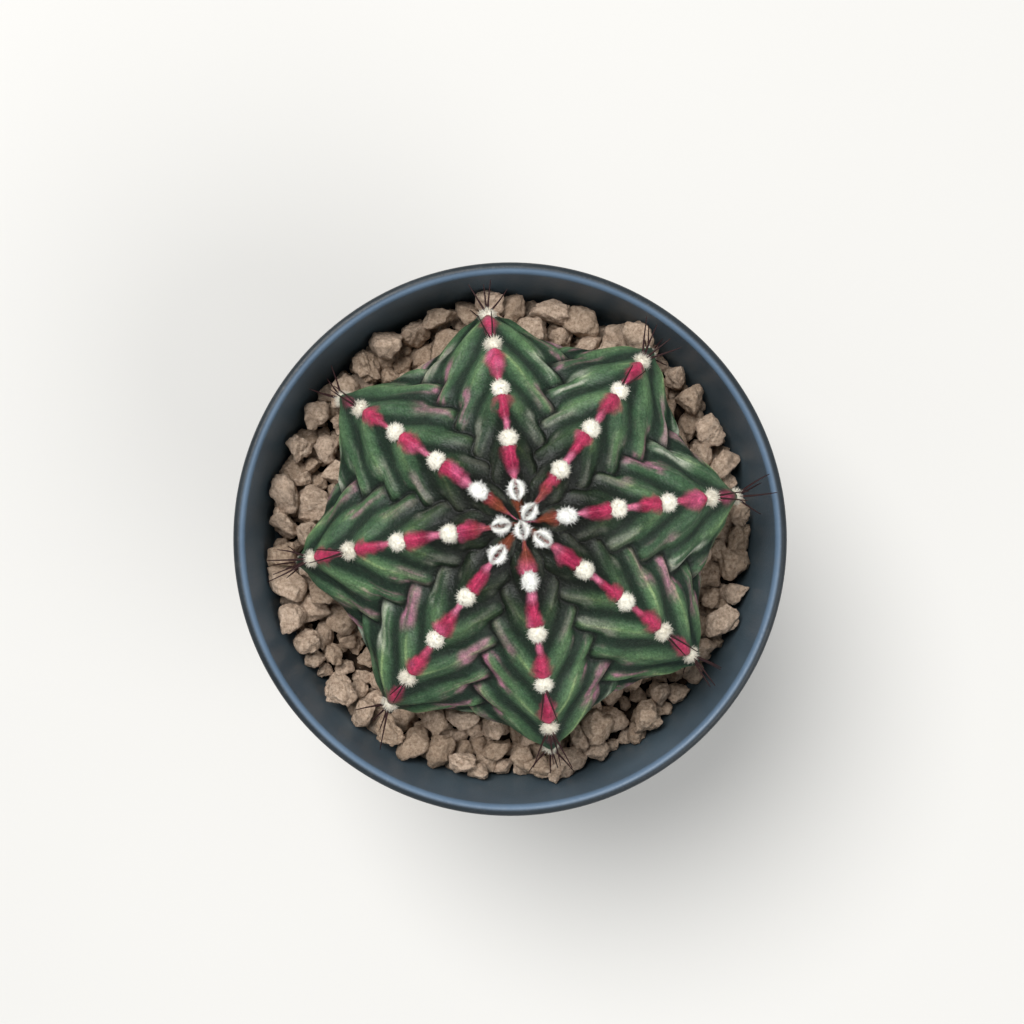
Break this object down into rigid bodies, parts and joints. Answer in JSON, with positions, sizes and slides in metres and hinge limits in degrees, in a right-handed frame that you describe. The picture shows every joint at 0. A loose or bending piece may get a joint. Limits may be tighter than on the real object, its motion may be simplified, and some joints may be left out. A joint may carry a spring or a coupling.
{
  "type": "potted round cactus",
  "caption": "Ribbed round cactus with woolly areoles, planted in a round dark plastic pot and dressed with pumice stones.",
  "frame": {"origin": "centre of the pot's foot ring, on the surface that the pot stands on", "axes": "+Z up along the pot's axis; +X to the right and +Y up in a view from straight above"},
  "size_m": [0.09, 0.09, 0.0971],
  "materials": {
    "pot_plastic": "charcoal moulded plastic, a satin blue-grey sheen on the lip",
    "potting_mix": "dark, dry, crumbly potting mix",
    "pumice": "rough, dusty, pitted tan pumice",
    "cactus_skin": "smooth semi-matte skin, dark green with lighter bands and pink to crimson patches",
    "areole_wool": "matte cream-white wool with dark spines on the outer tufts"
  },
  "bodies": {
    "root": {"areole_rib1_1": "areole_wool", "areole_rib1_2": "areole_wool", "areole_rib1_3": "areole_wool", "areole_rib1_4": "areole_wool", "areole_rib1_5": "areole_wool", "areole_rib2_1": "areole_wool", "areole_rib2_2": "areole_wool", "areole_rib2_3": "areole_wool", "areole_rib2_4": "areole_wool", "areole_rib2_5": "areole_wool", "areole_rib3_1": "areole_wool", "areole_rib3_2": "areole_wool", "areole_rib3_3": "areole_wool", "areole_rib3_4": "areole_wool", "areole_rib3_5": "areole_wool", "areole_rib4_1": "areole_wool", "areole_rib4_2": "areole_wool", "areole_rib4_3": "areole_wool", "areole_rib4_4": "areole_wool", "areole_rib4_5": "areole_wool", "areole_rib5_1": "areole_wool", "areole_rib5_2": "areole_wool", "areole_rib5_3": "areole_wool", "areole_rib5_4": "areole_wool", "areole_rib5_5": "areole_wool", "areole_rib6_1": "areole_wool", "areole_rib6_2": "areole_wool", "areole_rib6_3": "areole_wool", "areole_rib6_4": "areole_wool", "areole_rib6_5": "areole_wool", "areole_rib7_1": "areole_wool", "areole_rib7_2": "areole_wool", "areole_rib7_3": "areole_wool", "areole_rib7_4": "areole_wool", "areole_rib7_5": "areole_wool", "areole_rib8_1": "areole_wool", "areole_rib8_2": "areole_wool", "areole_rib8_3": "areole_wool", "areole_rib8_4": "areole_wool", "areole_rib8_5": "areole_wool", "cactus_stem": "cactus_skin", "pot": "pot_plastic", "potting_mix": "potting_mix", "pumice_dressing": "pumice", "pumice_stone_01": "pumice", "pumice_stone_02": "pumice", "pumice_stone_03": "pumice", "pumice_stone_04": "pumice", "pumice_stone_05": "pumice", "pumice_stone_06": "pumice", "pumice_stone_07": "pumice", "pumice_stone_08": "pumice", "pumice_stone_09": "pumice", "pumice_stone_10": "pumice", "pumice_stone_11": "pumice", "pumice_stone_12": "pumice", "pumice_stone_13": "pumice", "pumice_stone_14": "pumice", "pumice_stone_15": "pumice"}
  },
  "joints": []
}
